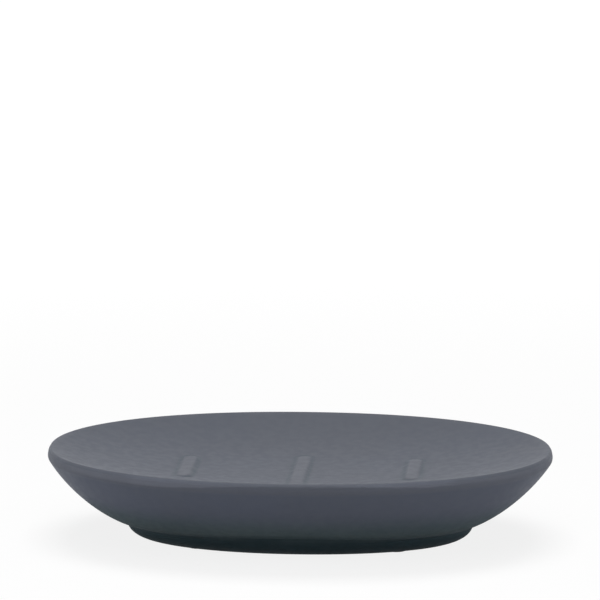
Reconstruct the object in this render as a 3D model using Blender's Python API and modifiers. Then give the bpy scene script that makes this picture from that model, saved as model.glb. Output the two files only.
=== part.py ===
"""An oval soap dish on a low rounded foot, with three drain ribs and four anti-slip pads.

The dish is one casting: a flared wall with a rolled lip, a shallow tray with ribs across its
floor, and an oval foot with a recess under it. It stands on four small pads, each in a seat.
Origin: on the surface that it stands on, under the middle of the dish. +X runs along the
dish, +Y across it, along the ribs, and +Z is up. Lengths are in metres, angles in degrees.
"""
import math

import bmesh
import bpy
from mathutils import Vector

# Overall size
LENGTH = 0.140
WIDTH = 0.0992
HEIGHT = 0.0262

# Lip: its crest, a bevel that slopes outward, a nearly upright face and the turn under it. A turn
# is the angle above the level at which a surface faces outward.
LIP_CREST_RADIUS = 0.0004
LIP_BEVEL_LENGTH = 0.0006
LIP_BEVEL_TURN = 32.0
LIP_CORNER_RADIUS = 0.0008
LIP_FACE_LENGTH = 0.0008
LIP_FACE_TURN = 10.0
LIP_UNDER_RADIUS = 0.0019

# Outside wall, down to the bowl's bottom. A fullness is a superellipse's power.
RIM_FULLNESS = 2.11
SLOPE_UNDER_LIP = 55.5
WALL_PULL_TOP = 0.0091
WALL_PULL_LOW = 0.0072
SLOPE_AT_BOTTOM = 20.0
BOTTOM_LENGTH = 0.0984
BOTTOM_WIDTH = 0.0572
BOTTOM_HEIGHT = 0.0065
BOTTOM_FULLNESS = 2.75

# Foot
FOOT_LENGTH = 0.0962
FOOT_WIDTH = 0.0562
FOOT_FULLNESS = 2.05
FOOT_FILLET_DROP = 0.0014
FOOT_EDGE_RUN = 0.0072

# Tray inside the dish
TRAY_DEPTH = 0.0073
TRAY_SLOPE_AT_LIP = 17.0
TRAY_FLAT_LENGTH = 0.0120
TRAY_PULL_LIP = 0.0180
TRAY_PULL_FLOOR = 0.0240

# Recess under the dish
FLOOR_THICKNESS = 0.0055
RING_WIDTH = 0.0085
RECESS_DRAFT = 6.0
RECESS_EDGE_RADIUS = 0.0030
RECESS_CHAMFER = 0.0005

# Drain ribs
RIB_COUNT = 3
RIB_SPACING = 0.0315
RIB_TOP_WIDTH = 0.0030
RIB_BASE_WIDTH = 0.0056
RIB_HEIGHT = 0.0007
RIB_EDGE = 0.0002
RIB_LENGTH_MIDDLE = 0.0375
RIB_LENGTH_OUTER = 0.0258
RIB_ROOT_DEPTH = 0.0010

# Anti-slip pads and their seats
PAD_DIAMETER = 0.0064
PAD_THICKNESS = 0.0016
PAD_PROUD = 0.0008
PAD_EDGE = 0.0003
PAD_TURN = 42.0
GAP = 0.0003

# Steps of the mesh
POINTS_AROUND = 64
LIP_STEPS = 2
UNDER_LIP_STEPS = 4
WALL_STEPS = 12
FILLET_STEPS = 4
EDGE_STEPS = 5
TRAY_STEPS = 11
RIB_END_STEPS = 7
PAD_POINTS = 28


def empty_scene():
    """Removes what is in the scene, then adds a collection for the dish and one for its cutters."""
    for thing in list(bpy.data.objects):
        bpy.data.objects.remove(thing, do_unlink=True)
    dish = bpy.data.collections.new("soap_dish")
    cutters = bpy.data.collections.new("soap_dish_cutters")
    for collection in (dish, cutters):
        bpy.context.scene.collection.children.link(collection)
    return dish, cutters


def material(name, colour, roughness):
    """A plain material without metal."""
    finish = bpy.data.materials.new(name)
    finish.use_nodes = True
    shader = finish.node_tree.nodes["Principled BSDF"]
    shader.inputs["Base Color"].default_value = (*colour, 1.0)
    shader.inputs["Roughness"].default_value = roughness
    shader.inputs["Metallic"].default_value = 0.0
    finish.diffuse_color = (*colour, 1.0)
    return finish


def add_object(name, mesh, collection, finish=None):
    """Puts a mesh in a collection as an object."""
    thing = bpy.data.objects.new(name, mesh)
    if finish is not None:
        mesh.materials.append(finish)
    collection.objects.link(thing)
    return thing


def add_cutter(name, mesh, collection):
    """A shape that only cuts the dish or joins it, drawn as wires and never rendered."""
    cutter = add_object(name, mesh, collection)
    cutter.hide_render = True
    cutter.display_type = "WIRE"
    return cutter


def combine(thing, other, operation):
    """Joins another solid to this one, or cuts it out of it."""
    boolean = thing.modifiers.new(other.name, "BOOLEAN")
    boolean.operation = operation
    boolean.solver = "EXACT"
    boolean.object = other


def skin(name, rings):
    """A closed solid through rings of points that have the same count, capped at both ends."""
    shape = bmesh.new()
    loops = [[shape.verts.new(point) for point in ring] for ring in rings]
    for lower, upper in zip(loops, loops[1:]):
        for i in range(len(lower)):
            j = (i + 1) % len(lower)
            shape.faces.new((lower[i], lower[j], upper[j], upper[i]))
    shape.faces.new(loops[0])
    shape.faces.new(loops[-1])
    bmesh.ops.recalc_face_normals(shape, faces=shape.faces)
    mesh = bpy.data.meshes.new(name)
    shape.to_mesh(mesh)
    shape.free()
    return mesh


def oval(level, fullness):
    """A superellipse round the middle of the dish. A level is half length, half width and height."""
    points = []
    for i in range(POINTS_AROUND):
        turn = 2 * math.pi * i / POINTS_AROUND
        along = math.copysign(abs(math.cos(turn)) ** (2 / fullness), math.cos(turn))
        across = math.copysign(abs(math.sin(turn)) ** (2 / fullness), math.sin(turn))
        points.append(Vector((level.x * along, level.y * across, level.z)))
    return points


def ovals(levels, first_fullness, last_fullness):
    """The ovals of some levels, whose fullness goes evenly from the first level to the last."""
    rings = []
    for i, level in enumerate(levels):
        share = i / (len(levels) - 1)
        rings.append(oval(level, first_fullness + (last_fullness - first_fullness) * share))
    return rings


def bezier(start, start_handle, end_handle, end, steps):
    """Levels along a cubic curve between two ends, both included."""
    levels = []
    for i in range(steps + 1):
        u = i / steps
        v = 1 - u
        level = v**3 * start + 3 * v * v * u * start_handle + 3 * v * u * u * end_handle + u**3 * end
        levels.append(level)
    return levels


def rounded(start, corner, end, steps):
    """Levels that round off the corner between two ends, both included."""
    return bezier(start, start.lerp(corner, 2 / 3), end.lerp(corner, 2 / 3), end, steps)


def arc(middle, radius, first, last, steps):
    """Levels round an arc whose centre is at the level in the middle, from one turn to another."""
    levels = []
    for i in range(steps + 1):
        turn = math.radians(first + (last - first) * i / steps)
        out = radius * math.cos(turn)
        levels.append(middle + Vector((out, out, radius * math.sin(turn))))
    return levels


def lip_levels():
    """The lip, from the tray, over its crest and down its bevel and face, to where the wall leaves it."""
    levels = [Vector((0, 0, 0))]
    first = 90 + TRAY_SLOPE_AT_LIP
    for radius, last, flat, steps in (
        (LIP_CREST_RADIUS, 90, 0, 1),
        (LIP_CREST_RADIUS, LIP_BEVEL_TURN, LIP_BEVEL_LENGTH, LIP_STEPS),
        (LIP_CORNER_RADIUS, LIP_FACE_TURN, LIP_FACE_LENGTH, LIP_STEPS),
        (LIP_UNDER_RADIUS, 0, 0, 1),
        (LIP_UNDER_RADIUS, SLOPE_UNDER_LIP - 90, 0, UNDER_LIP_STEPS),
    ):
        turn = math.radians(first)
        middle = levels[-1] - radius * Vector((math.cos(turn), math.cos(turn), math.sin(turn)))
        levels += arc(middle, radius, first, last, steps)[1:]
        if flat > 0:
            turn = math.radians(last)
            levels.append(levels[-1] + flat * Vector((math.sin(turn), math.sin(turn), -math.cos(turn))))
        first = last
    reach = max(level.x for level in levels)
    top = max(level.z for level in levels)
    shift = Vector((LENGTH / 2 - reach, WIDTH / 2 - reach, HEIGHT - top))
    return [level + shift for level in levels]


def tray_levels(steps):
    """The tray, from the edge of its flat middle up to the lip."""
    rim = lip_levels()[0]
    shape = rim.y / rim.x
    flat_half = TRAY_FLAT_LENGTH / 2
    flat = Vector((flat_half, flat_half * shape, HEIGHT - TRAY_DEPTH))
    from_floor = flat + TRAY_PULL_FLOOR * Vector((1, shape, 0))
    slope = math.radians(TRAY_SLOPE_AT_LIP)
    inward = TRAY_PULL_LIP * math.cos(slope)
    from_lip = rim - Vector((inward, inward * shape, TRAY_PULL_LIP * math.sin(slope)))
    return bezier(flat, from_floor, from_lip, rim, steps)


def wall_levels():
    """The outside wall, from the lip down to the bowl's bottom."""
    top = lip_levels()[-1]
    bottom = Vector((BOTTOM_LENGTH / 2, BOTTOM_WIDTH / 2, BOTTOM_HEIGHT))
    shape = (top.y - bottom.y) / (top.x - bottom.x)
    under_lip = math.radians(SLOPE_UNDER_LIP)
    inward = WALL_PULL_TOP * math.cos(under_lip)
    from_lip = top - Vector((inward, inward, WALL_PULL_TOP * math.sin(under_lip)))
    at_bottom = math.radians(SLOPE_AT_BOTTOM)
    outward = WALL_PULL_LOW * math.cos(at_bottom)
    from_bottom = bottom + Vector((outward, outward * shape, WALL_PULL_LOW * math.sin(at_bottom)))
    return bezier(top, from_lip, from_bottom, bottom, WALL_STEPS)


def foot_levels():
    """The foot's side: a hollow fillet under the bowl, then the rounded edge down to the flat ring."""
    bottom = wall_levels()[-1]
    side = Vector((FOOT_LENGTH / 2, FOOT_WIDTH / 2, BOTTOM_HEIGHT - FOOT_FILLET_DROP))
    corner = Vector((side.x, side.y, BOTTOM_HEIGHT - FOOT_FILLET_DROP / 4))
    ring = Vector((side.x - FOOT_EDGE_RUN, side.y - FOOT_EDGE_RUN, PAD_PROUD))
    fillet = rounded(bottom, corner, side, FILLET_STEPS)
    edge = []
    for i in range(1, EDGE_STEPS + 1):
        turn = math.pi / 2 * i / EDGE_STEPS
        inset = FOOT_EDGE_RUN * (1 - math.cos(turn))
        edge.append(side - Vector((inset, inset, (side.z - ring.z) * math.sin(turn))))
    return fillet + edge


def recess_levels():
    """The recess under the dish, from its mouth in the foot's flat ring up to its ceiling."""
    ring = foot_levels()[-1]
    mouth = ring - Vector((RING_WIDTH, RING_WIDTH, 0))
    chamfered = mouth - Vector((RECESS_CHAMFER, RECESS_CHAMFER, -RECESS_CHAMFER))
    ceiling = HEIGHT - TRAY_DEPTH - FLOOR_THICKNESS
    wall_height = ceiling - RECESS_EDGE_RADIUS - chamfered.z
    inset = wall_height * math.tan(math.radians(RECESS_DRAFT)) + RECESS_EDGE_RADIUS
    middle = chamfered + Vector((-inset, -inset, wall_height))
    return [mouth, chamfered, *arc(middle, RECESS_EDGE_RADIUS, 0, 90, EDGE_STEPS)]


def dish_rings():
    """All rings of the dish, from the tray's middle, over the lip, to the recess's ceiling."""
    inside = ovals(tray_levels(TRAY_STEPS) + lip_levels()[1:], RIM_FULLNESS, RIM_FULLNESS)
    wall = ovals(wall_levels(), RIM_FULLNESS, BOTTOM_FULLNESS)
    foot = foot_levels()
    fillet = ovals(foot[: FILLET_STEPS + 1], BOTTOM_FULLNESS, FOOT_FULLNESS)
    under = ovals(foot[FILLET_STEPS + 1 :] + recess_levels(), FOOT_FULLNESS, FOOT_FULLNESS)
    return inside + wall[1:] + fillet[1:] + under


def tray_height(x):
    """Height of the tray's floor at a place along the dish."""
    levels = tray_levels(200)
    if abs(x) <= levels[0].x:
        return levels[0].z
    for inner, outer in zip(levels, levels[1:]):
        if abs(x) <= outer.x:
            share = (abs(x) - inner.x) / (outer.x - inner.x)
            return inner.z + (outer.z - inner.z) * share
    return levels[-1].z


def stadium(x, length, width, height):
    """A slot-shaped outline with round ends, long across the dish."""
    points = []
    for side in (1, -1):
        for i in range(RIB_END_STEPS + 1):
            turn = math.pi * i / RIB_END_STEPS
            if side < 0:
                turn += math.pi
            across = side * (length - width) / 2 + width / 2 * math.sin(turn)
            points.append(Vector((x + width / 2 * math.cos(turn), across, height)))
    return points


def rib_mesh(name, x, length):
    """A drain rib with a flat top, sloping flanks and round ends, rooted in the tray's floor."""
    floor = tray_height(x)
    top = floor + RIB_HEIGHT
    spread = (RIB_BASE_WIDTH - RIB_TOP_WIDTH) / 2
    flank = (spread - RIB_EDGE) / (RIB_HEIGHT - RIB_EDGE)
    root_spread = spread + flank * RIB_ROOT_DEPTH
    levels = ((root_spread, floor - RIB_ROOT_DEPTH), (RIB_EDGE, top - RIB_EDGE), (0, top))
    rings = [stadium(x, length + 2 * out, RIB_TOP_WIDTH + 2 * out, z) for out, z in levels]
    return skin(name, rings)


def rib_places():
    """Place along the dish and length of each rib's flat top."""
    places = []
    for i in range(RIB_COUNT):
        x = (i - (RIB_COUNT - 1) / 2) * RIB_SPACING
        places.append((x, RIB_LENGTH_MIDDLE if x == 0 else RIB_LENGTH_OUTER))
    return places


def pad_places():
    """Middles of the four pads, halfway across the foot's flat ring."""
    ring = foot_levels()[-1]
    turn = math.radians(PAD_TURN)
    x = (ring.x - RING_WIDTH / 2) * math.cos(turn)
    y = (ring.y - RING_WIDTH / 2) * math.sin(turn)
    return [(x, y), (-x, y), (-x, -y), (x, -y)]


def disc_mesh(name, radius, low, high):
    """A round disc between two heights."""
    shape = bmesh.new()
    bmesh.ops.create_cone(
        shape, cap_ends=True, segments=PAD_POINTS, radius1=radius, radius2=radius, depth=high - low
    )
    bmesh.ops.translate(shape, verts=shape.verts, vec=(0, 0, (low + high) / 2))
    mesh = bpy.data.meshes.new(name)
    shape.to_mesh(mesh)
    shape.free()
    return mesh


def make_dish(dish, cutters):
    """The casting, with its ribs joined on and a seat cut for each pad."""
    glaze = material("satin_glaze", (0.082, 0.090, 0.115), 0.5)
    body = add_object("dish_body", skin("dish_body", dish_rings()), dish, glaze)
    for i, (x, length) in enumerate(rib_places(), start=1):
        name = f"rib_{i}"
        combine(body, add_cutter(name, rib_mesh(name, x, length), cutters), "UNION")
    seat_top = PAD_THICKNESS + GAP
    seat = disc_mesh("pad_seat", PAD_DIAMETER / 2 + GAP, -PAD_PROUD, seat_top)
    for i, (x, y) in enumerate(pad_places(), start=1):
        cutter = add_cutter(f"pad_seat_{i}", seat, cutters)
        cutter.location = (x, y, 0)
        combine(body, cutter, "DIFFERENCE")
    body.data.shade_smooth()
    body.data.set_sharp_from_angle(angle=math.radians(40))


def make_pads(dish):
    """Four round pads under the foot, which stand proud of it and carry the dish."""
    rubber = material("pad_rubber", (0.020, 0.021, 0.023), 0.75)
    mesh = disc_mesh("foot_pad", PAD_DIAMETER / 2, 0, PAD_THICKNESS)
    mesh.materials.append(rubber)
    mesh.shade_smooth()
    mesh.set_sharp_from_angle(angle=math.radians(30))
    for i, (x, y) in enumerate(pad_places(), start=1):
        pad = add_object(f"foot_pad_{i}", mesh, dish)
        pad.location = (x, y, 0)
        edge = pad.modifiers.new("rounded_edge", "BEVEL")
        edge.width = PAD_EDGE
        edge.segments = 2
        edge.limit_method = "ANGLE"


dish_collection, cutter_collection = empty_scene()
make_dish(dish_collection, cutter_collection)
make_pads(dish_collection)
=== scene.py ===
"""The looks of the oval soap dish: the glazed casting, its four anti-slip pads, and a plain studio.

Lengths are in metres and angles in degrees. +X runs along the dish, +Y across it and +Z up.
"""
import math

import bpy
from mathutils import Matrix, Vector


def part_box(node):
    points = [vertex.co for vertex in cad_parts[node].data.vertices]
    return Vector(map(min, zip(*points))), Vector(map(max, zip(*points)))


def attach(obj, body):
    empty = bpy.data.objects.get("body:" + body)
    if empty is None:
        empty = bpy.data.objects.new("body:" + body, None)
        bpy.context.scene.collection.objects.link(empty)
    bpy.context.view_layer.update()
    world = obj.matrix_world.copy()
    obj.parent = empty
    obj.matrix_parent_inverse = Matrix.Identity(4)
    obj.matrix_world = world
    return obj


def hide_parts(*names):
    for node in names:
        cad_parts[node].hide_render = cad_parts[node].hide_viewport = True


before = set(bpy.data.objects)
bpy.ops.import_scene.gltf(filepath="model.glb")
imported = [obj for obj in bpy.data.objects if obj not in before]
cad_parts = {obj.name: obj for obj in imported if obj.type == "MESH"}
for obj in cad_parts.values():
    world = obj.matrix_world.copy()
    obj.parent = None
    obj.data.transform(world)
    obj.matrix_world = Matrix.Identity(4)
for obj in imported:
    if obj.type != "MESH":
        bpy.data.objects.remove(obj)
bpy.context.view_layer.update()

# The dish: one casting of stoneware in a satin-matt blue-grey glaze, fired in one piece.
# A flared wall with a rolled lip goes round a shallow tray, and three drain ribs are
# moulded into the tray's floor. An oval foot ring carries it, glazed except where it stood.
dish_low, dish_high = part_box("dish_body")
DISH_LENGTH = dish_high.x - dish_low.x
DISH_WIDTH = dish_high.y - dish_low.y
DISH_TOP = dish_high.z
RING_HEIGHT = dish_low.z

LIP_CREST_RADIUS = 0.0004
LIP_BEVEL_LENGTH = 0.0006
LIP_BEVEL_TURN = 32.0
LIP_CORNER_RADIUS = 0.0008
LIP_FACE_LENGTH = 0.0008
LIP_FACE_TURN = 10.0
LIP_UNDER_RADIUS = 0.0019

RIM_FULLNESS = 2.11
SLOPE_UNDER_LIP = 55.5
WALL_PULL_TOP = 0.0091
WALL_PULL_LOW = 0.0072
SLOPE_AT_BOTTOM = 20.0
BOTTOM_LENGTH = 0.0984
BOTTOM_WIDTH = 0.0572
BOTTOM_HEIGHT = 0.0065
BOTTOM_FULLNESS = 2.75

FOOT_LENGTH = 0.0962
FOOT_WIDTH = 0.0562
FOOT_FULLNESS = 2.05
FOOT_FILLET_DROP = 0.0014
FILLET_CORNER_SHARE = 0.75
FOOT_EDGE_RUN = 0.0072

TRAY_DEPTH = 0.0073
TRAY_SLOPE_AT_LIP = 17.0
TRAY_FLAT_LENGTH = 0.0120
TRAY_PULL_LIP = 0.0180
TRAY_PULL_FLOOR = 0.0240

FLOOR_THICKNESS = 0.0055
RING_WIDTH = 0.0085
RING_INNER_EDGE = 0.0005
RECESS_DRAFT = 6.0
RECESS_EDGE_RADIUS = 0.0030

RIB_SPACING = 0.0315
RIB_TOP_HALF = 0.0015
RIB_FLANK_SLOPE = 0.53
RIB_HEIGHT = 0.0007
RIB_LENGTH_MIDDLE = 0.0375
RIB_LENGTH_OUTER = 0.0258
RIB_EDGE_SOFTNESS = 0.0005
RIB_FOOT_SOFTNESS = 0.00020
RIB_ZONE = (0.0225, 0.0410)

POINTS_AROUND = 360
LIP_STRAIGHT_STEPS = 3
TRAY_MIDDLE_STEPS = 14
TRAY_STEP = 0.0010
TRAY_STEP_BY_RIBS = 0.00023
TRAY_HEIGHT_STEPS = 400
WALL_STEPS = 30
FILLET_STEPS = 10
FOOT_EDGE_STEPS = 14
RING_STEPS = 8
MOUTH_STEPS = 5
RECESS_STEPS = 6
RECESS_EDGE_STEPS = 8
CEILING_STEPS = 12
SHARP_ANGLE = 40.0
MERGE_DISTANCE = 0.000001

SEAT_DIAMETER = 0.0070
SEAT_TOP = 0.0019
SEAT_TURN = 42.0
SEAT_SIDES = 64


def level(half_length, half_width, height, fullness):
    """One oval of a casting: its half sizes and height, and its superellipse's power."""
    return Vector((half_length, half_width, height, fullness))


def bezier_levels(start, start_handle, end_handle, end, shares):
    """Levels at some shares of the way along a cubic curve."""
    levels = []
    for u in shares:
        v = 1 - u
        levels.append(v**3 * start + 3 * v * v * u * start_handle + 3 * v * u * u * end_handle + u**3 * end)
    return levels


def arc_levels(middle, radius, first, last, steps):
    """Levels round an arc whose centre is at the level in the middle, from one turn to another."""
    levels = []
    for i in range(steps + 1):
        turn = math.radians(first + (last - first) * i / steps)
        out = radius * math.cos(turn)
        levels.append(middle + Vector((out, out, radius * math.sin(turn), 0)))
    return levels


def even(steps):
    """Even shares from 0 to 1."""
    return [i / steps for i in range(steps + 1)]


lip = [level(0, 0, 0, RIM_FULLNESS)]
lip_turn = 90 + TRAY_SLOPE_AT_LIP
# Each stretch: an arc's radius, the turn where it ends, the straight after it, and the arc's steps.
for radius, last_turn, straight, steps in (
    (LIP_CREST_RADIUS, 90, 0, 3),
    (LIP_CREST_RADIUS, LIP_BEVEL_TURN, LIP_BEVEL_LENGTH, 9),
    (LIP_CORNER_RADIUS, LIP_FACE_TURN, LIP_FACE_LENGTH, 6),
    (LIP_UNDER_RADIUS, 0, 0, 2),
    (LIP_UNDER_RADIUS, SLOPE_UNDER_LIP - 90, 0, 10),
):
    turn = math.radians(lip_turn)
    middle = lip[-1] - radius * Vector((math.cos(turn), math.cos(turn), math.sin(turn), 0))
    lip += arc_levels(middle, radius, lip_turn, last_turn, steps)[1:]
    if straight > 0:
        turn = math.radians(last_turn)
        fall = straight * Vector((math.sin(turn), math.sin(turn), -math.cos(turn), 0))
        lip += [lip[-1] + fall * share for share in even(LIP_STRAIGHT_STEPS)[1:]]
    lip_turn = last_turn
lip_reach = max(one.x for one in lip)
lip_height = max(one.z for one in lip)
lip_shift = Vector((DISH_LENGTH / 2 - lip_reach, DISH_WIDTH / 2 - lip_reach, DISH_TOP - lip_height, 0))
lip = [one + lip_shift for one in lip]
LIP_LOW = lip[-1].z

tray_rim = lip[0]
tray_shape = tray_rim.y / tray_rim.x
flat_half = TRAY_FLAT_LENGTH / 2
tray_edge = level(flat_half, flat_half * tray_shape, DISH_TOP - TRAY_DEPTH, RIM_FULLNESS)
tray_slope = math.radians(TRAY_SLOPE_AT_LIP)
pull_in = TRAY_PULL_LIP * math.cos(tray_slope)
tray_ends = (
    tray_edge,
    tray_edge + Vector((TRAY_PULL_FLOOR, TRAY_PULL_FLOOR * tray_shape, 0, 0)),
    tray_rim - Vector((pull_in, pull_in * tray_shape, TRAY_PULL_LIP * math.sin(tray_slope), 0)),
    tray_rim,
)


def tray_shares():
    """Shares along the tray's curve: close together where the ribs' flanks are, wider elsewhere."""
    shares = [0.0]
    small_share = 0.001
    while shares[-1] < 1:
        here = bezier_levels(*tray_ends, [shares[-1]])[0].x
        after = bezier_levels(*tray_ends, [shares[-1] + small_share])[0].x
        step = TRAY_STEP_BY_RIBS if RIB_ZONE[0] < here < RIB_ZONE[1] else TRAY_STEP
        shares.append(shares[-1] + step * small_share / (after - here))
    shares[-1] = 1.0
    return shares


def tray_height(x):
    """Height of the tray's floor at a place along the dish."""
    levels = bezier_levels(*tray_ends, even(TRAY_HEIGHT_STEPS))
    if abs(x) <= levels[0].x:
        return levels[0].z
    outer = next(i for i, one in enumerate(levels) if one.x >= abs(x))
    inner = levels[outer - 1]
    share = (abs(x) - inner.x) / (levels[outer].x - inner.x)
    return inner.z + (levels[outer].z - inner.z) * share


tray_middle = [tray_edge * share for share in even(TRAY_MIDDLE_STEPS)[:-1]]
for one in tray_middle:
    one.z = tray_edge.z
    one.w = RIM_FULLNESS
tray = tray_middle + bezier_levels(*tray_ends, tray_shares())

wall_top = lip[-1]
wall_bottom = level(BOTTOM_LENGTH / 2, BOTTOM_WIDTH / 2, BOTTOM_HEIGHT, BOTTOM_FULLNESS)
wall_shape = (wall_top.y - wall_bottom.y) / (wall_top.x - wall_bottom.x)
top_slope = math.radians(SLOPE_UNDER_LIP)
low_slope = math.radians(SLOPE_AT_BOTTOM)
wall_in = WALL_PULL_TOP * math.cos(top_slope)
wall_out = WALL_PULL_LOW * math.cos(low_slope)
wall_pulls = (
    wall_top - Vector((wall_in, wall_in, WALL_PULL_TOP * math.sin(top_slope), 0)),
    wall_bottom + Vector((wall_out, wall_out * wall_shape, WALL_PULL_LOW * math.sin(low_slope), 0)),
)
wall = bezier_levels(wall_top, *wall_pulls, wall_bottom, even(WALL_STEPS))
for i, one in enumerate(wall):
    one.w = RIM_FULLNESS + (BOTTOM_FULLNESS - RIM_FULLNESS) * i / (len(wall) - 1)

foot_side = level(FOOT_LENGTH / 2, FOOT_WIDTH / 2, BOTTOM_HEIGHT - FOOT_FILLET_DROP, FOOT_FULLNESS)
fillet_corner = foot_side + Vector((0, 0, FOOT_FILLET_DROP * FILLET_CORNER_SHARE, 0))
# A curve with one corner: both handles lie two thirds of the way to it.
fillet_pulls = (wall_bottom.lerp(fillet_corner, 2 / 3), foot_side.lerp(fillet_corner, 2 / 3))
fillet = bezier_levels(wall_bottom, *fillet_pulls, foot_side, even(FILLET_STEPS))
for i, one in enumerate(fillet):
    one.w = BOTTOM_FULLNESS + (FOOT_FULLNESS - BOTTOM_FULLNESS) * i / (len(fillet) - 1)
foot_edge = []
for share in even(FOOT_EDGE_STEPS)[1:]:
    inset = FOOT_EDGE_RUN * (1 - math.cos(math.pi / 2 * share))
    drop = (foot_side.z - RING_HEIGHT) * math.sin(math.pi / 2 * share)
    foot_edge.append(foot_side - Vector((inset, inset, drop, 0)))

ring_outer = foot_edge[-1]
ring_inner = ring_outer - Vector((RING_WIDTH, RING_WIDTH, 0, 0))
ring = [ring_outer.lerp(ring_inner, share) for share in even(RING_STEPS)[1:]]
mouth_middle = ring_inner + Vector((0, 0, RING_INNER_EDGE, 0))
mouth_edge = arc_levels(mouth_middle, -RING_INNER_EDGE, 90, RECESS_DRAFT, MOUTH_STEPS)[1:]
ceiling_height = DISH_TOP - TRAY_DEPTH - FLOOR_THICKNESS
recess_low = mouth_edge[-1]
recess_rise = ceiling_height - RECESS_EDGE_RADIUS - recess_low.z
recess_in = recess_rise * math.tan(math.radians(RECESS_DRAFT))
recess_climb = Vector((-recess_in, -recess_in, recess_rise, 0))
recess_wall = [recess_low + recess_climb * share for share in even(RECESS_STEPS)[1:]]
recess_middle = recess_wall[-1] - Vector((RECESS_EDGE_RADIUS, RECESS_EDGE_RADIUS, 0, 0))
recess_edge = arc_levels(recess_middle, RECESS_EDGE_RADIUS, 0, 90, RECESS_EDGE_STEPS)[1:]
ceiling = []
for share in even(CEILING_STEPS)[1:]:
    one = recess_edge[-1] * (1 - share)
    one.z = ceiling_height
    one.w = FOOT_FULLNESS
    ceiling.append(one)

dish_levels = tray + lip[1:] + wall[1:] + fillet[1:] + foot_edge
dish_levels += ring + mouth_edge + recess_wall + recess_edge + ceiling

seat_x = (ring_outer.x - RING_WIDTH / 2) * math.cos(math.radians(SEAT_TURN))
seat_y = (ring_outer.y - RING_WIDTH / 2) * math.sin(math.radians(SEAT_TURN))


def levels_object(name, levels):
    """An object that holds one point for each level, with the level's fullness beside it."""
    mesh = bpy.data.meshes.new(name)
    mesh.from_pydata([one.xyz for one in levels], [], [])
    fullness = mesh.attributes.new("fullness", "FLOAT", "POINT")
    fullness.data.foreach_set("value", [one.w for one in levels])
    thing = bpy.data.objects.new(name, mesh)
    bpy.context.scene.collection.objects.link(thing)
    return thing


def put(tree, kind, sockets=None, **settings):
    """Adds a node, with its settings and with its inputs linked or filled by name or place."""
    node = tree.nodes.new(kind)
    for name, value in settings.items():
        setattr(node, name, value)
    for key, value in (sockets or {}).items():
        if isinstance(key, int):
            socket = node.inputs[key]
        else:
            socket = next(one for one in node.inputs if one.name == key and one.enabled)
        if isinstance(value, bpy.types.NodeSocket):
            tree.links.new(value, socket)
        else:
            socket.default_value = value
    return node


def work_out(tree, operation, *values):
    """A Math node's result."""
    return put(tree, "ShaderNodeMath", dict(enumerate(values)), operation=operation).outputs[0]


def total(tree, *values):
    """The sum of some values."""
    result = values[0]
    for value in values[1:]:
        result = work_out(tree, "ADD", result, value)
    return result


def product(tree, *values):
    """The product of some values."""
    result = values[0]
    for value in values[1:]:
        result = work_out(tree, "MULTIPLY", result, value)
    return result


def new_tree(name, sizes):
    """A geometry tree that takes a geometry and some named sizes, and gives a geometry."""
    tree = bpy.data.node_groups.new(name, "GeometryNodeTree")
    tree.interface.new_socket(name="Geometry", in_out="INPUT", socket_type="NodeSocketGeometry")
    for label, kind in sizes.items():
        tree.interface.new_socket(name=label, in_out="INPUT", socket_type=kind)
    tree.interface.new_socket(name="Geometry", in_out="OUTPUT", socket_type="NodeSocketGeometry")
    taken = tree.nodes.new("NodeGroupInput")
    given = tree.nodes.new("NodeGroupOutput")
    return tree, taken.outputs, given.inputs[0]


def oval_skin_tree():
    """Turns the points of some levels into a skin: one superellipse for each, joined up."""
    tree, taken, given = new_tree("oval_skin", {"Points Around": "NodeSocketInt"})
    points = taken["Geometry"]
    count = put(tree, "GeometryNodeAttributeDomainSize", {"Geometry": points}).outputs["Point Count"]
    columns = work_out(tree, "ADD", taken["Points Around"], 1.0)
    grid = put(tree, "GeometryNodeMeshGrid", {"Vertices X": columns, "Vertices Y": count}).outputs["Mesh"]
    index = tree.nodes.new("GeometryNodeInputIndex").outputs[0]
    row = work_out(tree, "MODULO", index, count)
    column = work_out(tree, "FLOOR", work_out(tree, "DIVIDE", index, count))
    place = tree.nodes.new("GeometryNodeInputPosition").outputs[0]
    size = put(
        tree, "GeometryNodeSampleIndex", {"Geometry": points, "Index": row}, data_type="FLOAT_VECTOR"
    )
    tree.links.new(place, size.inputs["Value"])
    fullness = put(tree, "GeometryNodeInputNamedAttribute", {"Name": "fullness"}, data_type="FLOAT")
    power = put(
        tree,
        "GeometryNodeSampleIndex",
        {"Geometry": points, "Value": fullness.outputs["Attribute"], "Index": row},
        data_type="FLOAT",
    )
    bend = work_out(tree, "DIVIDE", 2.0, power.outputs[0])
    turn = product(tree, work_out(tree, "DIVIDE", column, taken["Points Around"]), 2 * math.pi)
    half = put(tree, "ShaderNodeSeparateXYZ", {0: size.outputs[0]}).outputs
    shares = []
    for wave in ("COSINE", "SINE"):
        swing = work_out(tree, wave, turn)
        reach = work_out(tree, "POWER", work_out(tree, "ABSOLUTE", swing), bend)
        shares.append(product(tree, reach, work_out(tree, "SIGN", swing)))
    along = product(tree, half[0], shares[0])
    across = product(tree, half[1], shares[1])
    spot = put(tree, "ShaderNodeCombineXYZ", {0: along, 1: across, 2: half[2]}).outputs[0]
    shaped = put(tree, "GeometryNodeSetPosition", {"Geometry": grid, "Position": spot}).outputs[0]
    tree.links.new(shaped, given)
    return tree


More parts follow.
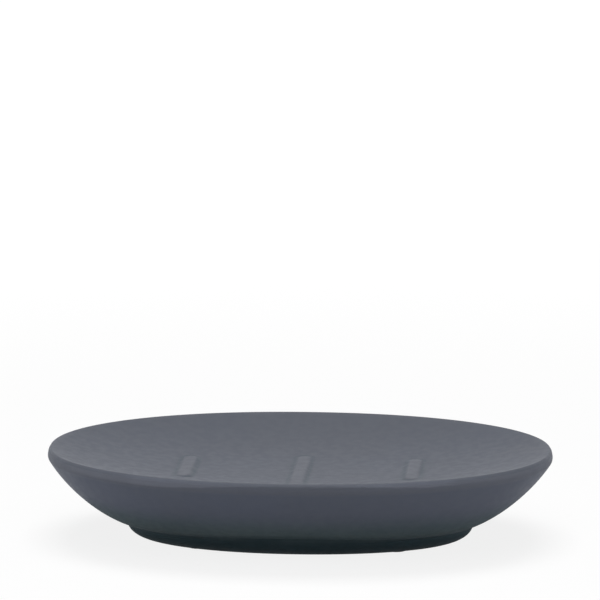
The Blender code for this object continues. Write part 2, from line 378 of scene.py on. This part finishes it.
def finish_tree(tree, shape, clay, given, sharp_angle):
    """Shades a closed shape, smooth except at its sharp edges, and gives it its material."""
    smooth = put(
        tree, "GeometryNodeSetShadeSmooth", {"Geometry": shape, "Shade Smooth": True}, domain="FACE"
    )
    angle = tree.nodes.new("GeometryNodeInputMeshEdgeAngle").outputs["Unsigned Angle"]
    limit = math.radians(sharp_angle)
    steep = put(tree, "FunctionNodeCompare", {"A": angle, "B": limit}, operation="GREATER_THAN")
    crisp = put(
        tree,
        "GeometryNodeSetShadeSmooth",
        {"Geometry": smooth.outputs[0], "Selection": steep.outputs[0], "Shade Smooth": False},
        domain="EDGE",
    )
    real = put(tree, "GeometryNodeRealizeInstances", {"Geometry": crisp.outputs[0]})
    dressed = put(tree, "GeometryNodeSetMaterial", {"Geometry": real.outputs[0], "Material": clay})
    tree.links.new(dressed.outputs[0], given)


def dish_tree(skin):
    """The casting: a skin through its levels, then the ribs raised in the tray and the pads' seats cut."""
    sizes = {
        "Points Around": "NodeSocketInt",
        "Rib Spacing": "NodeSocketFloat",
        "Rib Top Half": "NodeSocketFloat",
        "Rib Flank Slope": "NodeSocketFloat",
        "Middle Rib Reach": "NodeSocketFloat",
        "Outer Rib Reach": "NodeSocketFloat",
        "Middle Rib Top": "NodeSocketFloat",
        "Outer Rib Top": "NodeSocketFloat",
        "Rib Edge Softness": "NodeSocketFloat",
        "Rib Foot Softness": "NodeSocketFloat",
        "Tray Side From": "NodeSocketFloat",
        "Seat Radius": "NodeSocketFloat",
        "Seat Top": "NodeSocketFloat",
        "Seats Apart": "NodeSocketVector",
        "Glaze": "NodeSocketMaterial",
    }
    tree, taken, given = new_tree("cast_dish", sizes)
    group = put(tree, "GeometryNodeGroup", node_tree=skin)
    tree.links.new(taken["Geometry"], group.inputs["Geometry"])
    tree.links.new(taken["Points Around"], group.inputs["Points Around"])

    place = tree.nodes.new("GeometryNodeInputPosition").outputs[0]
    x, y, z = put(tree, "ShaderNodeSeparateXYZ", {0: place}).outputs
    number = work_out(tree, "ROUND", work_out(tree, "DIVIDE", x, taken["Rib Spacing"]))
    number = work_out(tree, "MINIMUM", work_out(tree, "MAXIMUM", number, -1.0), 1.0)
    outer = work_out(tree, "ABSOLUTE", number)
    reach = put(tree, "ShaderNodeMix", {0: outer}, data_type="FLOAT")
    tree.links.new(taken["Middle Rib Reach"], reach.inputs[2])
    tree.links.new(taken["Outer Rib Reach"], reach.inputs[3])
    top = put(tree, "ShaderNodeMix", {0: outer}, data_type="FLOAT")
    tree.links.new(taken["Middle Rib Top"], top.inputs[2])
    tree.links.new(taken["Outer Rib Top"], top.inputs[3])
    beside = work_out(tree, "SUBTRACT", x, product(tree, number, taken["Rib Spacing"]))
    past_end = work_out(
        tree, "MAXIMUM", work_out(tree, "SUBTRACT", work_out(tree, "ABSOLUTE", y), reach.outputs[0]), 0.0
    )
    squares = total(tree, product(tree, beside, beside), product(tree, past_end, past_end))
    away = work_out(tree, "SUBTRACT", work_out(tree, "SQRT", squares), taken["Rib Top Half"])
    down_flank = work_out(tree, "SMOOTH_MAX", away, 0.0, taken["Rib Edge Softness"])
    fall = product(tree, down_flank, taken["Rib Flank Slope"])
    rib = work_out(tree, "SUBTRACT", top.outputs[0], fall)
    height = work_out(tree, "SMOOTH_MAX", z, rib, taken["Rib Foot Softness"])
    in_tray = put(
        tree, "FunctionNodeCompare", {"A": z, "B": taken["Tray Side From"]}, operation="GREATER_THAN"
    )
    spot = put(tree, "ShaderNodeCombineXYZ", {0: x, 1: y, 2: height}).outputs[0]
    from_rib = put(tree, "ShaderNodeMix", {0: in_tray.outputs[0], 2: 1.0, 3: away}, data_type="FLOAT")
    marked = put(
        tree,
        "GeometryNodeStoreNamedAttribute",
        {"Geometry": group.outputs[0], "Name": "from_rib", "Value": from_rib.outputs[0]},
        data_type="FLOAT",
    )
    ribbed = put(
        tree,
        "GeometryNodeSetPosition",
        {"Geometry": marked.outputs[0], "Selection": in_tray.outputs[0], "Position": spot},
    )
    closed = put(
        tree, "GeometryNodeMergeByDistance", {"Geometry": ribbed.outputs[0], "Distance": MERGE_DISTANCE}
    )

    corner_grid = {"Size X": 1.0, "Size Y": 1.0, "Vertices X": 2, "Vertices Y": 2}
    corners = put(tree, "GeometryNodeMeshGrid", corner_grid)
    spread = put(
        tree, "GeometryNodeTransform", {"Geometry": corners.outputs["Mesh"], "Scale": taken["Seats Apart"]}
    )
    seat = put(
        tree,
        "GeometryNodeMeshCylinder",
        {
            "Vertices": SEAT_SIDES,
            "Radius": taken["Seat Radius"],
            "Depth": product(tree, taken["Seat Top"], 2.0),
        },
    )
    seats = put(
        tree,
        "GeometryNodeInstanceOnPoints",
        {"Points": spread.outputs[0], "Instance": seat.outputs["Mesh"]},
    )
    solid_seats = put(tree, "GeometryNodeRealizeInstances", {"Geometry": seats.outputs[0]})
    cut = put(tree, "GeometryNodeMeshBoolean", operation="DIFFERENCE", solver="EXACT")
    tree.links.new(closed.outputs[0], cut.inputs["Mesh 1"])
    tree.links.new(solid_seats.outputs[0], cut.inputs["Mesh 2"])
    finish_tree(tree, cut.outputs["Mesh"], taken["Glaze"], given, SHARP_ANGLE)
    return tree


def cast(thing, name, tree, sizes):
    """Runs a tree on an object's levels with these sizes, and gives the result as a plain object."""
    making = thing.modifiers.new(tree.name, "NODES")
    making.node_group = tree
    for socket in tree.interface.items_tree:
        if socket.in_out == "INPUT" and socket.name in sizes:
            making[socket.identifier] = sizes[socket.name]
    mesh = bpy.data.meshes.new_from_object(thing.evaluated_get(bpy.context.evaluated_depsgraph_get()))
    mesh.name = name
    piece = bpy.data.objects.new(name, mesh)
    bpy.context.scene.collection.objects.link(piece)
    bpy.data.objects.remove(thing, do_unlink=True)
    return piece


# The glaze's colours, and those of the iron and the clay that show in it.
GLAZE_THICK = (0.085, 0.095, 0.120, 1.0)
GLAZE_THIN = (0.091, 0.100, 0.123, 1.0)
GLAZE_OUTSIDE = (0.093, 0.107, 0.146, 1.0)
# A painted highlight for the lip's outside.
GLAZE_HIGHLIGHT = (0.162, 0.178, 0.225, 1.0)
# Painted shade, tinted greener, low on the outside.
GLAZE_LOW_SHADED = (0.066, 0.100, 0.113, 1.0)
# Painted shade round the ribs' feet and over the foot.
GLAZE_SHADED = (0.028, 0.054, 0.066, 1.0)
# Paler glaze, which also paints light on the lip's face.
GLAZE_PALE = (0.135, 0.142, 0.166, 1.0)
IRON_SPECK = (0.040, 0.038, 0.042, 1.0)
CLAY_DARK = (0.270, 0.235, 0.198, 1.0)
CLAY_PALE = (0.410, 0.370, 0.318, 1.0)

# Its noises: lumps to the metre, detail, and for some the range that is stretched to 0 and 1.
CLOUDS = (26.0, 3.0, 0.36, 0.64)
CREST_PATCHES = (75.0, 2.0, 0.35, 0.65)
MOTTLE = (260.0, 2.0, 0.30, 0.70)
SHEEN_PATCHES = (420.0, 2.0, 0.30, 0.70)
GROG = (1900.0, 3.0, 0.35, 0.65)
# Waves in the heights at which the painted shade and the greener tint begin outside.
SHADE_WAVES = (60.0, 2.0)
WIPE_MARKS = (320.0, 2.0)
PEEL = (300.0, 1.0)
GRAIN = (2400.0, 2.0)

# Its specks: cells to the metre, the share of the cells that have one, and the largest radius.
FINE_SPECKS = (700.0, 0.5, 0.00010)
DARK_SPECKS = (240.0, 0.5, 0.00020)
SMALLEST_SPECK = 0.45
SPECK_CORE = 0.5

# Where the outside begins, by how far the surface faces up, and the heights at which it turns greener and
# darker, with painted shade towards the foot. The places beside some heights are distances from the middle,
# along the dish.
OUTSIDE_FACING = (0.15, 0.50)
SHADE_WAVER = 0.0030
LOW_HEIGHTS = (0.0085, 0.0172)
LOW_PLACES = (0.012, 0.034)
# Painted shade over the foot and the wall's bottom, reaching higher towards the tips.
DEEP_SHADE_LOW = 0.0044
DEEP_SHADE_TOPS = (0.0077, 0.0102)
DEEP_SHADE_PLACES = (0.010, 0.040)

# The lip: where the painted light on its face begins, from the wall's top edge, and how far down its paler
# crest reaches.
LIP_FACE_FROM = (-0.0004, 0.0008)
CREST_DROP = 0.0007

# Where it changes round a rib, by the distance from the edge of the rib's flat top: paler on the top, with
# painted shade on the flanks and round the foot.
RIB_TOP_FADE = (-0.0002, 0.0005)
RIB_SHADE_START = (0.0001, 0.0008)
RIB_SHADE_END = (0.0011, 0.0022)

# The painted highlight down the lip's outside: its depth under the crest, and how much deeper it lies at
# the left. It fades along the dish and where it faces up, each fade as two limits and the strength at both.
EDGE_DEPTHS = (0.0007, 0.0017)
EDGE_DEPTH_PLACES = (0.012, 0.040)
EDGE_LEAN = (0.0005, -0.0003)
EDGE_LEAN_PLACES = (-0.026, 0.004)
EDGE_FADE = 0.0005
EDGE_WAVER = 0.0002
EDGE_ALONG = ((0.010, 0.022, 0.74, 1.0), (0.040, 0.047, 1.0, 0.5), (0.047, 0.064, 1.0, 0.2))
EDGE_FACING = ((0.25, 0.50, 1.0, 0.5), (0.60, 0.92, 1.0, 0.0))

# The wiped foot: bare clay up to this height, then a dark line where the glaze has rolled back.
BARE_BELOW = 0.00090
BARE_FADE = 0.00004
ROLLED_EDGE = 0.00012
WIPE_WAVER = 0.00016

# How strongly each of these shows, the painted shade and the painted light among them.
COOL_IN_CLOUDS = 0.75
LOW_DEEP_SHADE = 0.24
RIB_TOP_SHARE = 0.34
RIB_SHADE_SHARE = 0.28
MOTTLE_SHARE = 0.055
CREST_SHARE = 0.35
CREST_LEAST = 0.3
LIP_FACE_LIGHT_SHARE = 0.42
FINE_SPECK_SHARE = 0.35
DARK_SPECK_SHARE = 0.6
ROLLED_SHARE = 0.4

# Its sheen, and the heights of its relief.
ROUGH_RANGE = (0.49, 0.57)
ROUGH_IN_CLOUDS = 0.03
ROUGH_CLAY = 0.92
GLAZE_SPECULAR = 0.2
PEEL_HEIGHT = 0.0000012
GRAIN_HEIGHT = 0.0000008
PIT_DEPTH = 0.000015
TOOTH_HEIGHT = 0.00003


def lumps(tree, place, scale, detail):
    """A soft noise with about this many lumps to the metre, mostly between 0.3 and 0.7."""
    return put(tree, "ShaderNodeTexNoise", {"Vector": place, "Scale": scale, "Detail": detail}).outputs[0]


def mapped(tree, value, low, high, new_low=0.0, new_high=1.0):
    """A value taken smoothly from one range to another, and held at the ends."""
    sockets = {0: value, 1: low, 2: high, 3: new_low, 4: new_high}
    return put(tree, "ShaderNodeMapRange", sockets, interpolation_type="SMOOTHSTEP").outputs[0]


def patches(tree, place, scale, detail, low, high, new_low=0.0, new_high=1.0):
    """A soft noise that is stretched until it goes all the way from one value to another."""
    return mapped(tree, lumps(tree, place, scale, detail), low, high, new_low, new_high)


def uneven(tree, place, height, noise, waver):
    """A height that a noise moves up and down by half of the waver."""
    return total(tree, height, product(tree, lumps(tree, place, *noise), waver), -waver / 2)


def blend(tree, share, first, second):
    """A mix of two colours."""
    return put(tree, "ShaderNodeMix", {0: share, 6: first, 7: second}, data_type="RGBA").outputs[2]


def specks(tree, place, scale, share, radius):
    """1 in small round spots, which are in this share of the cells of a honeycomb, and 0 elsewhere."""
    cells = put(tree, "ShaderNodeTexVoronoi", {"Vector": place, "Scale": scale})
    luck = put(tree, "ShaderNodeSeparateColor", {0: cells.outputs["Color"]}).outputs
    reach = product(tree, mapped(tree, luck[1], 0.0, 1.0, SMALLEST_SPECK, 1.0), radius * scale)
    spot = mapped(tree, cells.outputs["Distance"], reach, product(tree, reach, SPECK_CORE))
    return product(tree, spot, work_out(tree, "LESS_THAN", luck[0], share))


def rib_shares(tree):
    """How much paler a rib's top is, and how much painted shade darkens the rib's flanks and foot."""
    from_rib = put(tree, "ShaderNodeAttribute", attribute_name="from_rib").outputs["Fac"]
    thin = mapped(tree, from_rib, *RIB_TOP_FADE, RIB_TOP_SHARE, 0.0)
    begins = mapped(tree, from_rib, *RIB_SHADE_START)
    ends = mapped(tree, from_rib, *RIB_SHADE_END, 1.0, 0.0)
    return thin, product(tree, work_out(tree, "MINIMUM", begins, ends), RIB_SHADE_SHARE)


def crest_share(tree, place, z):
    """How much paler the lip's crest is, here more and there less."""
    near_top = mapped(tree, z, DISH_TOP - CREST_DROP, DISH_TOP, 0.0, CREST_SHARE)
    return product(tree, near_top, patches(tree, place, *CREST_PATCHES, CREST_LEAST, 1.0))


def lip_highlight(tree, x, z, facing, mottle):
    """A painted highlight down the lip's outside: a narrow band that fades at the tips."""
    along = work_out(tree, "ABSOLUTE", x)
    depth = mapped(tree, along, *EDGE_DEPTH_PLACES, *EDGE_DEPTHS)
    depth = total(tree, depth, mapped(tree, x, *EDGE_LEAN_PLACES, *EDGE_LEAN))
    below = total(tree, DISH_TOP, product(tree, z, -1.0), product(tree, mottle, EDGE_WAVER))
    edge = mapped(tree, below, depth, total(tree, depth, EDGE_FADE), 1.0, 0.0)
    for fade in EDGE_ALONG:
        edge = product(tree, edge, mapped(tree, along, *fade))
    for fade in EDGE_FACING:
        edge = product(tree, edge, mapped(tree, facing, *fade))
    return edge


def wiped_foot(tree, place, z):
    """Where the foot's ring was wiped bare of glaze, and where the glaze rolled back dark beside it."""
    wiped = uneven(tree, place, z, WIPE_MARKS, WIPE_WAVER)
    glazed_from = BARE_BELOW + BARE_FADE
    bare = mapped(tree, wiped, BARE_BELOW, glazed_from, 1.0, 0.0)
    rolled = mapped(tree, wiped, glazed_from, glazed_from + ROLLED_EDGE, ROLLED_SHARE, 0.0)
    return bare, rolled


def satin_glaze():
    """Satin-matt blue-grey glaze over stoneware, which shows bare on the ring that it stands on. Painted
    shade and painted light are mixed into its colour.
    """
    glaze = bpy.data.materials.new("satin_glaze")
    glaze.use_nodes = True
    tree = glaze.node_tree
    shader = tree.nodes["Principled BSDF"]
    spot = tree.nodes.new("ShaderNodeTexCoord").outputs
    place = spot["Object"]
    x, _, z = put(tree, "ShaderNodeSeparateXYZ", {0: place}).outputs
    along = work_out(tree, "ABSOLUTE", x)
    facing = put(tree, "ShaderNodeSeparateXYZ", {0: spot["Normal"]}).outputs[2]
    outside = mapped(tree, facing, *OUTSIDE_FACING, 1.0, 0.0)

    # Thick and thin clouds inside, and a cooler colour outside that turns greener and darker further down:
    # a greener tint with painted shade, deepest at the tips.
    clouds = patches(tree, place, *CLOUDS)
    colour = blend(tree, clouds, GLAZE_THICK, GLAZE_THIN)
    cooler = mapped(tree, clouds, 0.0, 1.0, 1.0, COOL_IN_CLOUDS)
    colour = blend(tree, product(tree, outside, cooler), colour, GLAZE_OUTSIDE)
    shade_height = uneven(tree, place, z, SHADE_WAVES, SHADE_WAVER)
    low = mapped(tree, shade_height, *LOW_HEIGHTS, 1.0, 0.0)
    low_shaded_glaze = blend(tree, mapped(tree, along, *LOW_PLACES, 0.0, LOW_DEEP_SHADE), GLAZE_LOW_SHADED, GLAZE_SHADED)
    colour = blend(tree, product(tree, outside, low), colour, low_shaded_glaze)

    # Paler on the ribs' tops and the lip's crest, with painted shade round the ribs' flanks and feet and
    # over the foot, and a painted highlight and painted light down the lip's outside.
    rib_top, rib_shade = rib_shares(tree)
    colour = blend(tree, rib_top, colour, GLAZE_PALE)
    colour = blend(tree, rib_shade, colour, GLAZE_SHADED)
    # Painted shade over the foot and the wall's bottom.
    deep_shade_top = mapped(tree, along, *DEEP_SHADE_PLACES, *DEEP_SHADE_TOPS)
    deep_shade = mapped(tree, shade_height, DEEP_SHADE_LOW, deep_shade_top, 1.0, 0.0)
    colour = blend(tree, product(tree, outside, deep_shade), colour, GLAZE_SHADED)
    mottle = patches(tree, place, *MOTTLE)
    colour = blend(tree, product(tree, mottle, MOTTLE_SHARE), colour, GLAZE_PALE)
    colour = blend(tree, crest_share(tree, place, z), colour, GLAZE_PALE)
    # A painted highlight down the lip's outside.
    colour = blend(tree, lip_highlight(tree, x, z, facing, mottle), colour, GLAZE_HIGHLIGHT)
    # Painted light on the lip's face.
    face_low, face_high = (LIP_LOW + height for height in LIP_FACE_FROM)
    lip_face_light = mapped(tree, z, face_low, face_high, 0.0, LIP_FACE_LIGHT_SHARE)
    colour = blend(tree, product(tree, outside, lip_face_light), colour, GLAZE_PALE)

    # Iron specks, and the bare clay that the wiping left.
    fine_specks = specks(tree, place, *FINE_SPECKS)
    dark_specks = specks(tree, place, *DARK_SPECKS)
    colour = blend(tree, product(tree, fine_specks, FINE_SPECK_SHARE), colour, IRON_SPECK)
    colour = blend(tree, product(tree, dark_specks, DARK_SPECK_SHARE), colour, IRON_SPECK)
    bare, rolled = wiped_foot(tree, place, z)
    colour = blend(tree, rolled, colour, IRON_SPECK)
    grog = patches(tree, place, *GROG)
    colour = blend(tree, bare, colour, blend(tree, grog, CLAY_DARK, CLAY_PALE))
    tree.links.new(colour, shader.inputs["Base Color"])

    # A satin sheen that varies a little, over clay that has none.
    sheen = patches(tree, place, *SHEEN_PATCHES, *ROUGH_RANGE)
    sheen = total(tree, sheen, product(tree, clouds, ROUGH_IN_CLOUDS))
    rough = work_out(tree, "MAXIMUM", sheen, product(tree, bare, ROUGH_CLAY))
    tree.links.new(rough, shader.inputs["Roughness"])
    shader.inputs["Specular IOR Level"].default_value = GLAZE_SPECULAR

    # The glaze's faint peel and grain, a pit at each dark speck, and the bare clay's tooth.
    peel = product(tree, lumps(tree, place, *PEEL), PEEL_HEIGHT)
    grain = product(tree, lumps(tree, place, *GRAIN), GRAIN_HEIGHT)
    pits = product(tree, dark_specks, -PIT_DEPTH)
    tooth = product(tree, grog, bare, TOOTH_HEIGHT)
    relief = put(tree, "ShaderNodeBump", {"Height": total(tree, peel, grain, pits, tooth), "Distance": 1.0})
    tree.links.new(relief.outputs[0], shader.inputs["Normal"])
    return glaze


glaze = satin_glaze()
oval_skin = oval_skin_tree()
dish = cast(
    levels_object("dish_levels", dish_levels),
    "glazed_dish",
    dish_tree(oval_skin),
    {
        "Points Around": POINTS_AROUND,
        "Rib Spacing": RIB_SPACING,
        "Rib Top Half": RIB_TOP_HALF,
        "Rib Flank Slope": RIB_FLANK_SLOPE,
        "Middle Rib Reach": RIB_LENGTH_MIDDLE / 2 - RIB_TOP_HALF,
        "Outer Rib Reach": RIB_LENGTH_OUTER / 2 - RIB_TOP_HALF,
        "Middle Rib Top": tray_height(0) + RIB_HEIGHT,
        "Outer Rib Top": tray_height(RIB_SPACING) + RIB_HEIGHT,
        "Rib Edge Softness": RIB_EDGE_SOFTNESS,
        "Rib Foot Softness": RIB_FOOT_SOFTNESS,
        "Tray Side From": (ceiling_height + tray_edge.z) / 2,
        "Seat Radius": SEAT_DIAMETER / 2,
        "Seat Top": SEAT_TOP,
        "Seats Apart": (2 * seat_x, 2 * seat_y, 1.0),
        "Glaze": glaze,
    },
)
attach(dish, "root")
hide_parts("dish_body")


# The pads: four small discs of black rubber, moulded with rings on the sole for grip.
# Each is stuck into its seat in the foot's ring with a little of it standing out below.
PAD_DIAMETER = 0.0064
PAD_THICKNESS = 0.0016
PAD_EDGE = 0.0003
PAD_FULLNESS = 2.0
PAD_POINTS_AROUND = 96
PAD_EDGE_STEPS = 6
PAD_SHARP_ANGLE = 50.0
GROOVE_RADII = (0.0010, 0.0017, 0.0024)
GROOVE_HALF_WIDTH = 0.00012
GROOVE_DEPTH = 0.00010
PAD_TOP_SHARES = (0.70, 0.35, 0.0)

# A groove's section: places across it in half widths, and the share of its depth at each.
GROOVE_SECTION = ((-1.5, 0.0), (-0.8, 0.8), (0.0, 1.0), (0.8, 0.8), (1.5, 0.0))

RUBBER_DARK = (0.017, 0.018, 0.020, 1.0)
RUBBER_DUSTY = (0.034, 0.035, 0.037, 1.0)
DUST = (900.0, 3.0, 0.45, 0.68)
RUBBER_ROUGH = (0.70, 0.86)
RUBBER_SPECULAR = 0.35
RUBBER_GRAIN = (5200.0, 2.0)
RUBBER_GRAIN_HEIGHT = 0.000012

pad_radius = PAD_DIAMETER / 2
pad_flat = pad_radius - PAD_EDGE
pad_levels = [level(0, 0, 0, PAD_FULLNESS)]
for radius in GROOVE_RADII:
    for share, depth in GROOVE_SECTION:
        out = radius + share * GROOVE_HALF_WIDTH
        pad_levels.append(level(out, out, depth * GROOVE_DEPTH, PAD_FULLNESS))
for height, first, last in ((PAD_EDGE, -90, 0), (PAD_THICKNESS - PAD_EDGE, 0, 90)):
    middle = level(pad_flat, pad_flat, height, PAD_FULLNESS)
    pad_levels += arc_levels(middle, PAD_EDGE, first, last, PAD_EDGE_STEPS)
for share in PAD_TOP_SHARES:
    pad_levels.append(level(pad_flat * share, pad_flat * share, PAD_THICKNESS, PAD_FULLNESS))
pad_levels.reverse()


def pad_tree(skin):
    """A pad: a skin through its levels, moved to its seat."""
    sizes = {"Points Around": "NodeSocketInt", "Place": "NodeSocketVector", "Rubber": "NodeSocketMaterial"}
    tree, taken, given = new_tree("mould_pad", sizes)
    group = put(tree, "GeometryNodeGroup", node_tree=skin)
    tree.links.new(taken["Geometry"], group.inputs["Geometry"])
    tree.links.new(taken["Points Around"], group.inputs["Points Around"])
    closed = put(
        tree, "GeometryNodeMergeByDistance", {"Geometry": group.outputs[0], "Distance": MERGE_DISTANCE}
    )
    seated = put(
        tree, "GeometryNodeTransform", {"Geometry": closed.outputs[0], "Translation": taken["Place"]}
    )
    finish_tree(tree, seated.outputs[0], taken["Rubber"], given, PAD_SHARP_ANGLE)
    return tree


def pad_rubber():
    """Matt black rubber with a fine moulded grain, greyed a little by dust."""
    rubber = bpy.data.materials.new("pad_rubber")
    rubber.use_nodes = True
    tree = rubber.node_tree
    shader = tree.nodes["Principled BSDF"]
    place = tree.nodes.new("ShaderNodeTexCoord").outputs["Object"]
    dust = patches(tree, place, *DUST)
    tree.links.new(blend(tree, dust, RUBBER_DARK, RUBBER_DUSTY), shader.inputs["Base Color"])
    tree.links.new(mapped(tree, dust, 0.0, 1.0, *RUBBER_ROUGH), shader.inputs["Roughness"])
    shader.inputs["Specular IOR Level"].default_value = RUBBER_SPECULAR
    grain = product(tree, lumps(tree, place, *RUBBER_GRAIN), RUBBER_GRAIN_HEIGHT)
    relief = put(tree, "ShaderNodeBump", {"Height": grain, "Distance": 1.0})
    tree.links.new(relief.outputs[0], shader.inputs["Normal"])
    return rubber


rubber = pad_rubber()
mould_pad = pad_tree(oval_skin)
seats = ((seat_x, seat_y), (-seat_x, seat_y), (-seat_x, -seat_y), (seat_x, -seat_y))
for number, (x, y) in enumerate(seats, start=1):
    pad = cast(
        levels_object(f"pad_levels_{number}", pad_levels),
        f"anti_slip_pad_{number}",
        mould_pad,
        {"Points Around": PAD_POINTS_AROUND, "Place": (x, y, 0.0), "Rubber": rubber},
    )
    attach(pad, "root")
    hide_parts(f"foot_pad_{number}")


# The floor and the light: a plain white sweep under the dish, which keeps its shadow, with a
# large soft light overhead, one high up in front and a small low one at each side.
FLOOR_SIZE = 6.0
PAPER_FELT = (0.80, 0.80, 0.80, 1.0)
PAPER_SEEN = (0.16, 0.16, 0.16, 1.0)
PAPER_GLOW = (0.85, 1.0)
GLOW_DISTANCES = (0.15, 0.90)
PAPER_GLEAM = 0.2
AIR_LIGHT = 0.03
BACKDROP_LIGHT = 1.0
PURE_WHITE = (1.0, 1.0, 1.0, 1.0)

floor_mesh = bpy.data.meshes.new("studio_floor")
half_floor = FLOOR_SIZE / 2
floor_signs = ((-1, -1), (1, -1), (1, 1), (-1, 1))
floor_corners = [(half_floor * across, half_floor * back, 0) for across, back in floor_signs]
floor_mesh.from_pydata(floor_corners, [], [(0, 1, 2, 3)])
floor = bpy.data.objects.new("studio_floor", floor_mesh)
bpy.context.scene.collection.objects.link(floor)


def white_floor():
    """White paper. It gives off what its shading lacks to white for the rays that see it directly."""
    paper = bpy.data.materials.new("white_floor")
    paper.use_nodes = True
    paper.node_tree.nodes.clear()
    tree = paper.node_tree
    rays = tree.nodes.new("ShaderNodeLightPath").outputs
    surface = tree.nodes.new("ShaderNodeNewGeometry").outputs
    away = put(tree, "ShaderNodeVectorMath", {0: surface["Position"]}, operation="LENGTH").outputs["Value"]
    shaded = put(tree, "ShaderNodeBsdfDiffuse", {"Color": PAPER_SEEN})
    glow = put(tree, "ShaderNodeEmission", {"Strength": mapped(tree, away, *GLOW_DISTANCES, *PAPER_GLOW)})
    seen = put(tree, "ShaderNodeAddShader", {0: shaded.outputs[0], 1: glow.outputs[0]})
    white = put(tree, "ShaderNodeBsdfDiffuse", {"Color": PAPER_FELT})
    gleam = put(tree, "ShaderNodeEmission", {"Strength": product(tree, rays["Is Glossy Ray"], PAPER_GLEAM)})
    felt = put(tree, "ShaderNodeAddShader", {0: white.outputs[0], 1: gleam.outputs[0]})
    straight = work_out(tree, "MAXIMUM", rays["Is Camera Ray"], rays["Is Transmission Ray"])
    either = put(tree, "ShaderNodeMixShader", {0: straight, 1: felt.outputs[0], 2: seen.outputs[0]})
    clear = put(tree, "ShaderNodeBsdfTransparent")
    one_way = put(
        tree, "ShaderNodeMixShader", {0: surface["Backfacing"], 1: either.outputs[0], 2: clear.outputs[0]}
    )
    put(tree, "ShaderNodeOutputMaterial", {"Surface": one_way.outputs[0]})
    return paper


paper = white_floor()
floor_mesh.materials.append(paper)

world = bpy.data.worlds.new("white_studio")
bpy.context.scene.world = world
world.use_nodes = True
world.node_tree.nodes.clear()
tree = world.node_tree
rays = tree.nodes.new("ShaderNodeLightPath").outputs
seen = work_out(tree, "MAXIMUM", rays["Is Camera Ray"], rays["Is Glossy Ray"])
seen = work_out(tree, "MAXIMUM", seen, rays["Is Transmission Ray"])
air = put(tree, "ShaderNodeBackground", {"Color": PURE_WHITE, "Strength": AIR_LIGHT})
backdrop = put(tree, "ShaderNodeBackground", {"Color": PURE_WHITE, "Strength": BACKDROP_LIGHT})
either = put(tree, "ShaderNodeMixShader", {0: seen, 1: air.outputs[0], 2: backdrop.outputs[0]})
put(tree, "ShaderNodeOutputWorld", {"Surface": either.outputs[0]})


def soft_light(name, place, size, power):
    """A square soft light that points at the dish and isn't seen itself."""
    lamp = bpy.data.lights.new(name, "AREA")
    lamp.size = size
    lamp.energy = power
    light = bpy.data.objects.new(name, lamp)
    light.location = place
    light.rotation_euler = (-Vector(place)).to_track_quat("-Z", "Y").to_euler()
    light.visible_camera = False
    bpy.context.scene.collection.objects.link(light)
    return light


soft_light("light_overhead", place=(0.0, 0.0, 1.30), size=0.8, power=12.1)
soft_light("light_front", place=(0.0, -0.84, 1.00), size=0.8, power=3.5)
soft_light("light_low_left", place=(-1.29, 0.0, 0.18), size=0.3, power=3.0)
soft_light("light_low_right", place=(1.29, 0.0, 0.18), size=0.3, power=2.8)

# The camera: far off with a long lens, a little to the right, looking down at a low angle.
CAMERA_DISTANCE = 1.466
CAMERA_SIDE = 4.2
CAMERA_RISE = 12.88
CAMERA_TILT = 10.28
LENS = 316.0
SIGHT_END = 20.0

side = math.radians(CAMERA_SIDE)
rise = math.radians(CAMERA_RISE)
camera_data = bpy.data.cameras.new("camera")
camera_data.lens = LENS
camera_data.clip_end = SIGHT_END
camera = bpy.data.objects.new("camera", camera_data)
camera.location = CAMERA_DISTANCE * Vector(
    (math.sin(side) * math.cos(rise), -math.cos(side) * math.cos(rise), math.sin(rise))
)
camera.rotation_euler = (math.radians(90 - CAMERA_TILT), 0, side)
bpy.context.scene.collection.objects.link(camera)
bpy.context.scene.camera = camera
bpy.context.scene.view_settings.view_transform = "Standard"
